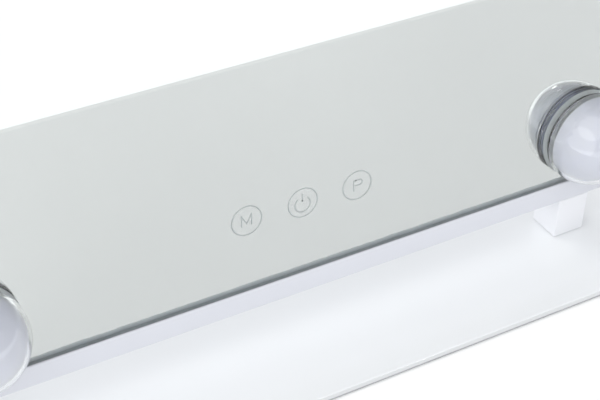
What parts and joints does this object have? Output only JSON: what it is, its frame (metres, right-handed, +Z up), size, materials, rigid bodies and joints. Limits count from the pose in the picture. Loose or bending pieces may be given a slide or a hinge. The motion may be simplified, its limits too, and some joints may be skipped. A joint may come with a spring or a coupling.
{
  "type": "table-top vanity mirror",
  "caption": "Table-top vanity mirror with globe lights on its glass, touch controls and a slim frame that tilts on short square posts over a flat base plate.",
  "frame": {"origin": "on the table surface, under the middle of the base plate", "axes": "+Z up, +X to the user's right as they face the mirror, +Y away from the user"},
  "size_m": [0.4, 0.19, 0.5447],
  "materials": {
    "base_plate_paint": "gloss white paint on steel sheet",
    "post_paint": "white powder coat on aluminium, satin",
    "frame_paint": "white powder coat on aluminium extrusion, satin",
    "panel_paint": "white powder coat on steel sheet",
    "mirror_glass": "silvered float glass, polished edge",
    "opal_globe": "opal white, gloss moulded",
    "clear_seat": "clear, polished",
    "zinc_steel": "zinc plated",
    "foot_rubber": "matt dark grey",
    "circuit_board": "white solder mask",
    "black_plastic": "moulded, fine grain",
    "wire_sheath": "soft white"
  },
  "bodies": {
    "stand": {"base_plate": "base_plate_paint", "foot_front_left": "foot_rubber", "foot_front_right": "foot_rubber", "foot_rear_left": "foot_rubber", "foot_rear_right": "foot_rubber", "hinge_tongue_left": "zinc_steel", "hinge_tongue_right": "zinc_steel", "leg_left": "post_paint", "leg_right": "post_paint", "leg_screw_left": "zinc_steel", "leg_screw_right": "zinc_steel"},
    "mirror_head": {"back_panel": "panel_paint", "corner_key_bottom_left": "zinc_steel", "corner_key_bottom_right": "zinc_steel", "corner_key_top_left": "zinc_steel", "corner_key_top_right": "zinc_steel", "frame_rail_bottom": "frame_paint", "frame_rail_left": "frame_paint", "frame_rail_right": "frame_paint", "frame_rail_top": "frame_paint", "globe_left_1": "opal_globe", "globe_left_2": "opal_globe", "globe_left_3": "opal_globe", "globe_left_4": "opal_globe", "globe_right_1": "opal_globe", "globe_right_2": "opal_globe", "globe_right_3": "opal_globe", "globe_right_4": "opal_globe", "globe_seat_left_1": "clear_seat", "globe_seat_left_2": "clear_seat", "globe_seat_left_3": "clear_seat", "globe_seat_left_4": "clear_seat", "globe_seat_right_1": "clear_seat", "globe_seat_right_2": "clear_seat", "globe_seat_right_3": "clear_seat", "globe_seat_right_4": "clear_seat", "globe_seat_top": "clear_seat", "globe_top": "opal_globe", "led_board_left": "circuit_board", "led_board_right": "circuit_board", "led_board_top": "circuit_board", "led_lead_left": "wire_sheath", "led_lead_right": "wire_sheath", "light_driver": "black_plastic", "mirror_glass": "mirror_glass", "panel_screw_left_high": "zinc_steel", "panel_screw_left_low": "zinc_steel", "panel_screw_left_mid": "zinc_steel", "panel_screw_right_high": "zinc_steel", "panel_screw_right_low": "zinc_steel", "panel_screw_right_mid": "zinc_steel", "pivot_pin_left": "zinc_steel", "pivot_pin_right": "zinc_steel", "pivot_yoke_left": "zinc_steel", "pivot_yoke_right": "zinc_steel", "supply_jack": "black_plastic", "supply_lead": "wire_sheath", "touch_board": "circuit_board", "touch_lead": "wire_sheath"}
  },
  "joints": [
    {"name": "mirror_tilt", "type": "hinge", "parent": "stand", "child": "mirror_head", "pos_m": [0, -0.0427, 0.0356], "axis": [-1, 0, 0], "range_deg": [-5, 10]}
  ]
}
